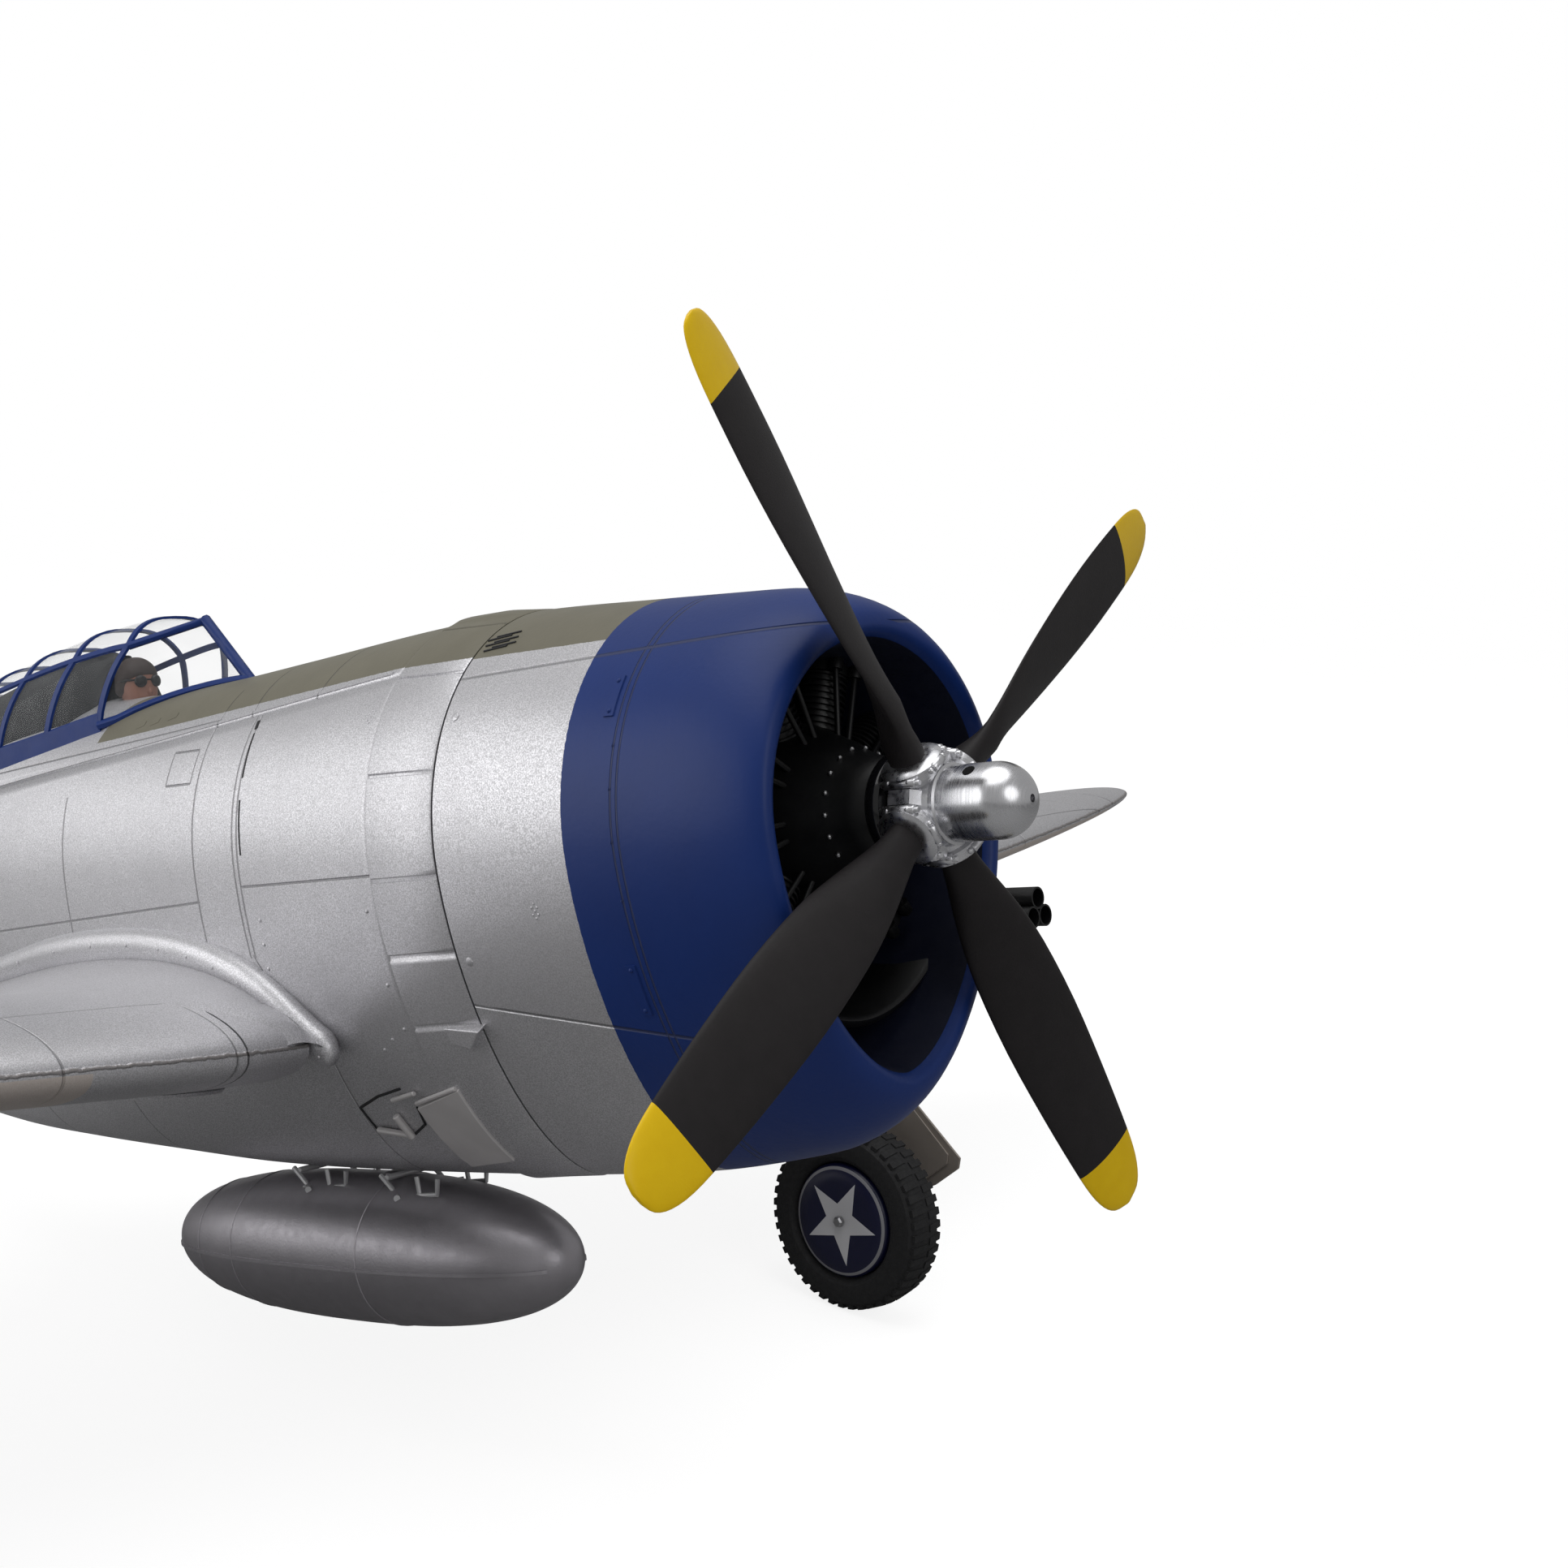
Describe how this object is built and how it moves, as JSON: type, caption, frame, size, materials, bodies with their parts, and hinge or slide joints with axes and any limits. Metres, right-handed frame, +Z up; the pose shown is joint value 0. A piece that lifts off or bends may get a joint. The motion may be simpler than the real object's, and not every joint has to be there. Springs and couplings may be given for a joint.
{
  "type": "radio-control warbird plane",
  "caption": "Radio-control model of a radial-engined fighter with hinged control surfaces, retracting wheels, spinning propeller and lift-off top hatch.",
  "frame": {"origin": "centre of the bounding box on the ground plane, standing on its three wheels", "axes": "+Y to port along the span, +Z up, nose towards +X and raised 12 degrees"},
  "size_m": [1.0642, 1.2176, 0.4179],
  "materials": {
    "silver_paint": "metallic silver paint over foam, satin",
    "olive_paint": "matt olive drab paint over foam",
    "blue_paint": "satin deep blue paint over foam",
    "blade_black": "matt black moulded nylon with yellow tips",
    "bright_metal": "bare machined and cast alloy",
    "steel_wire": "plain steel",
    "engine_black": "black moulded plastic",
    "electronics": "moulded plastic cases",
    "tank_grey": "dark grey silver paint",
    "tyre_rubber": "black foam rubber",
    "wheel_navy": "navy disc with a white star",
    "clear_glazing": "clear vacuum-formed sheet with blue frames",
    "pilot_paint": "painted moulded figure",
    "plywood": "light plywood",
    "carbon_tube": "carbon tube",
    "battery_sleeve": "shrink sleeve"
  },
  "bodies": {
    "airframe": {"aileron_servo_left": "electronics", "aileron_servo_right": "electronics", "antenna_mast": "silver_paint", "battery_pack": "battery_sleeve", "battery_tray": "plywood", "cowl_flap_ring": "silver_paint", "drop_tank": "tank_grey", "elevator_servo": "electronics", "engine_cowling": "blue_paint", "engine_front": "engine_black", "fin": "silver_paint", "firewall": "plywood", "fuselage_shell": "silver_paint", "gun_barrels_left": "engine_black", "gun_barrels_right": "engine_black", "motor_mount": "steel_wire", "pitot_head": "steel_wire", "radio_receiver": "electronics", "retract_unit_left": "electronics", "retract_unit_right": "electronics", "rocket_tubes_left": "engine_black", "rocket_tubes_right": "engine_black", "rudder_servo": "electronics", "speed_controller": "electronics", "tailplane": "silver_paint", "tank_braces": "steel_wire", "wing_joiner": "carbon_tube", "wing_left": "silver_paint", "wing_right": "silver_paint"},
    "propeller": {"prop_hub": "bright_metal", "prop_dome": "bright_metal", "prop_blade_1": "blade_black", "prop_blade_2": "blade_black", "prop_blade_3": "blade_black", "prop_blade_4": "blade_black", "prop_shaft": "steel_wire", "motor_bell": "electronics"},
    "hatch": {"battery_hatch": "olive_paint", "canopy": "clear_glazing", "cockpit_tub": "engine_black", "rear_decking": "engine_black", "pilot_bust": "pilot_paint"},
    "elevator": {"elevators": "silver_paint"},
    "rudder": {"rudder": "silver_paint"},
    "tail_steering": {"tail_leg": "steel_wire"},
    "tail_wheel": {"tail_tyre": "tyre_rubber", "tail_hub": "engine_black"},
    "aileron_left": {"aileron_left": "silver_paint"},
    "flap_left": {"flap_left": "silver_paint"},
    "gear_leg_left": {"gear_leg_left": "steel_wire", "gear_door_left": "silver_paint"},
    "main_wheel_left": {"main_tyre_left": "tyre_rubber", "main_hub_left": "wheel_navy"},
    "aileron_right": {"aileron_right": "silver_paint"},
    "flap_right": {"flap_right": "silver_paint"},
    "gear_leg_right": {"gear_leg_right": "steel_wire", "gear_door_right": "silver_paint"},
    "main_wheel_right": {"main_tyre_right": "tyre_rubber", "main_hub_right": "wheel_navy"}
  },
  "joints": [
    {"name": "prop_spin", "type": "hinge", "parent": "airframe", "child": "propeller", "pos_m": [0.49646, 0, 0.27964], "axis": [0.9781, 0, 0.2079], "continuous": true},
    {"name": "aileron_left_hinge", "type": "hinge", "parent": "airframe", "child": "aileron_left", "pos_m": [0.11618, 0.4425, 0.16548], "axis": [0.1963, 0.973, 0.1212], "range_deg": [-20, 20]},
    {"name": "flap_left_hinge", "type": "hinge", "parent": "airframe", "child": "flap_left", "pos_m": [0.08481, 0.2165, 0.13209], "axis": [-0.0451, -0.9936, -0.1035], "range_deg": [0, 38]},
    {"name": "gear_left_retract", "type": "hinge", "parent": "airframe", "child": "gear_leg_left", "pos_m": [0.23041, 0.246, 0.16412], "axis": [-0.8547, 0.2826, -0.4355], "range_deg": [0, 86.95]},
    {"name": "main_wheel_left_roll", "type": "hinge", "parent": "gear_leg_left", "child": "main_wheel_left", "pos_m": [0.30672, 0.2305, 0.042], "axis": [0, 1, 0], "continuous": true},
    {"name": "aileron_right_hinge", "type": "hinge", "parent": "airframe", "child": "aileron_right", "pos_m": [0.11618, -0.4425, 0.16548], "axis": [-0.1963, 0.973, -0.1212], "range_deg": [-20, 20]},
    {"name": "flap_right_hinge", "type": "hinge", "parent": "airframe", "child": "flap_right", "pos_m": [0.08481, -0.2165, 0.13209], "axis": [0.0451, -0.9936, 0.1035], "range_deg": [0, 38]},
    {"name": "gear_right_retract", "type": "hinge", "parent": "airframe", "child": "gear_leg_right", "pos_m": [0.23041, -0.246, 0.16412], "axis": [0.8547, 0.2826, 0.4355], "range_deg": [0, 86.95]},
    {"name": "main_wheel_right_roll", "type": "hinge", "parent": "gear_leg_right", "child": "main_wheel_right", "pos_m": [0.30672, -0.2305, 0.042], "axis": [0, 1, 0], "continuous": true},
    {"name": "elevator_hinge", "type": "hinge", "parent": "airframe", "child": "elevator", "pos_m": [-0.44727, 0, 0.10051], "axis": [0, 1, 0], "range_deg": [-25, 25]},
    {"name": "rudder_hinge", "type": "hinge", "parent": "airframe", "child": "rudder", "pos_m": [-0.46712, 0, 0.13616], "axis": [-0.2079, 0, 0.9781], "range_deg": [-25, 25]},
    {"name": "tail_steering_swivel", "type": "hinge", "parent": "airframe", "child": "tail_steering", "pos_m": [-0.3298, 0, 0.04011], "axis": [-0.2079, 0, 0.9781], "range_deg": [-25, 25]},
    {"name": "tail_wheel_roll", "type": "hinge", "parent": "tail_steering", "child": "tail_wheel", "pos_m": [-0.34695, 0, 0.015], "axis": [0, 1, 0], "continuous": true},
    {"name": "hatch_lift", "type": "slide", "parent": "airframe", "child": "hatch", "axis": [-0.2079, 0, 0.9781], "range_m": [0, 0.06]}
  ],
  "couplings": [
    {"joint": "aileron_right_hinge", "follows": "aileron_left_hinge", "ratio": -1},
    {"joint": "flap_right_hinge", "follows": "flap_left_hinge", "ratio": 1},
    {"joint": "gear_right_retract", "follows": "gear_left_retract", "ratio": 1},
    {"joint": "tail_steering_swivel", "follows": "rudder_hinge", "ratio": 1}
  ]
}
